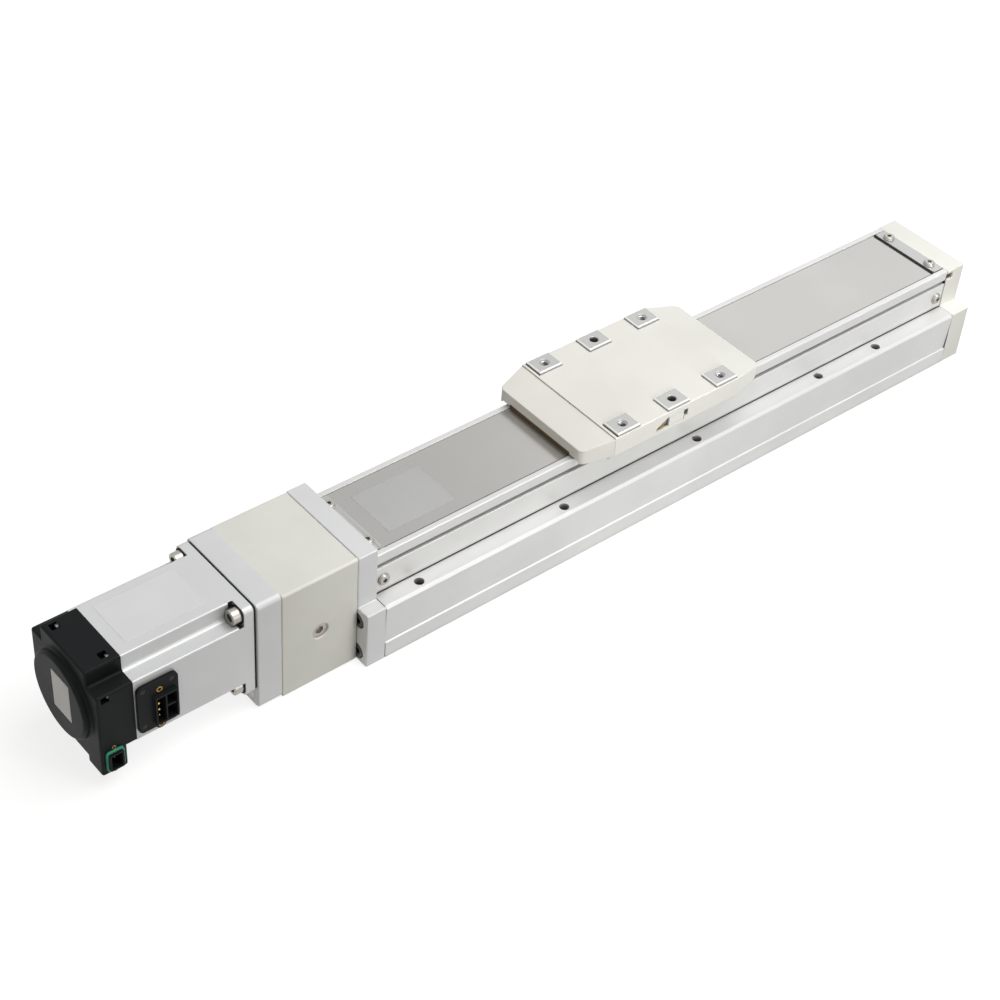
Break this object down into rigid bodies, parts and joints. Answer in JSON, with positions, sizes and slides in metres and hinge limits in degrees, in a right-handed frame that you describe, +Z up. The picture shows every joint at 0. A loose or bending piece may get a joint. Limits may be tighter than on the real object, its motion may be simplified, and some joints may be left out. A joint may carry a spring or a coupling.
{
  "type": "ball screw linear actuator",
  "caption": "Motor-driven ball screw linear actuator with a steel-strip top, a low slider with raised tapped pads, and a square servo motor with a rear encoder in line.",
  "frame": {"origin": "middle of the base profile's flat bottom face", "axes": "+X along the travel, away from the motor; +Y to the side without connectors; +Z up, out of the slider's pads"},
  "size_m": [0.6225, 0.08, 0.0762],
  "materials": {
    "body_aluminium": "satin anodised",
    "panel_aluminium": "satin anodised",
    "strip_steel": "rolled strip with a soft sheen",
    "clamp_steel": "brushed stainless steel",
    "screw_steel": "bright zinc-plated steel",
    "plate_aluminium": "bead-blasted and anodised",
    "cream_paint": "smooth cream coating",
    "black_screw": "black oxide steel",
    "bearing_steel": "fine ground steel",
    "motor_aluminium": "fine machined",
    "core_steel": "stacked core plates and varnished wire",
    "board_green": "coated circuit board",
    "black_moulding": "fine-grained black moulding",
    "seal_green": "soft green rubber",
    "contact_gold": "gold-plated contacts",
    "insert_brass": "turned brass",
    "bumper_rubber": "black rubber",
    "saddle_steel": "formed stainless steel",
    "pad_aluminium": "fine milled",
    "slider_cream": "smooth cream moulding",
    "roller_plastic": "white acetal",
    "spider_rubber": "red polyurethane",
    "magnet_grey": "coated magnet",
    "disc_steel": "polished code disc"
  },
  "bodies": {
    "base": {"base_profile": "body_aluminium", "side_panel_near": "panel_aluminium", "side_panel_far": "panel_aluminium", "top_cover": "body_aluminium", "seal_strip": "strip_steel", "strip_clamp_front": "clamp_steel", "strip_clamp_rear": "clamp_steel", "trim_screws": "screw_steel", "front_plate": "plate_aluminium", "end_cap": "cream_paint", "end_screws": "black_screw", "coupling_housing": "cream_paint", "access_plug": "screw_steel", "motor_plate": "plate_aluminium", "housing_screws": "screw_steel", "bearing_retainer": "plate_aluminium", "retainer_screws": "screw_steel", "bearing_outer_rings": "bearing_steel", "motor_flange": "motor_aluminium", "motor_bolts": "screw_steel", "motor_body": "motor_aluminium", "stator": "core_steel", "encoder_board": "board_green", "encoder_cover": "black_moulding", "encoder_cover_screws": "black_screw", "power_connector": "black_moulding", "power_screws": "black_screw", "encoder_connector": "black_moulding", "encoder_seal": "seal_green", "connector_pins": "contact_gold", "brass_inserts": "insert_brass", "rail_near": "bearing_steel", "rail_far": "bearing_steel", "rail_screws": "screw_steel", "bumper_front": "bumper_rubber", "bumper_rear": "bumper_rubber"},
    "drive_screw": {"screw_shaft": "bearing_steel", "bearing_inner_rings": "bearing_steel", "lock_nut": "bearing_steel", "coupling_hub_screw": "pad_aluminium", "coupling_hub_motor": "pad_aluminium", "coupling_spider": "spider_rubber", "hub_screws": "screw_steel", "rotor_shaft": "bearing_steel", "rotor_magnet": "magnet_grey", "encoder_disc": "disc_steel"},
    "carriage": {"guide_blocks": "bearing_steel", "guide_studs": "screw_steel", "carriage_block": "body_aluminium", "ball_nut": "bearing_steel", "nut_screws": "screw_steel", "carriage_saddle": "saddle_steel", "saddle_screws": "screw_steel", "table_screws": "screw_steel", "slider_table": "pad_aluminium", "slider_cover": "slider_cream", "grease_door": "slider_cream", "roller_brackets": "clamp_steel"},
    "roller_front": {"strip_roller_front": "roller_plastic"},
    "roller_rear": {"strip_roller_rear": "roller_plastic"}
  },
  "joints": [
    {"name": "carriage_slide", "type": "slide", "parent": "base", "child": "carriage", "axis": [1, 0, 0], "range_m": [-0.121, 0.159]},
    {"name": "screw_spin", "type": "hinge", "parent": "base", "child": "drive_screw", "pos_m": [0, 0, 0.042], "axis": [1, 0, 0], "continuous": true},
    {"name": "roller_front_spin", "type": "hinge", "parent": "carriage", "child": "roller_front", "pos_m": [-0.075, 0, 0.06595], "axis": [0, 1, 0], "continuous": true},
    {"name": "roller_rear_spin", "type": "hinge", "parent": "carriage", "child": "roller_rear", "pos_m": [0.037, 0, 0.06595], "axis": [0, 1, 0], "continuous": true}
  ],
  "couplings": [
    {"joint": "screw_spin", "follows": "carriage_slide", "rad_per_m": -628.32},
    {"joint": "roller_front_spin", "follows": "carriage_slide", "rad_per_m": 285.71},
    {"joint": "roller_rear_spin", "follows": "carriage_slide", "rad_per_m": 285.71}
  ]
}
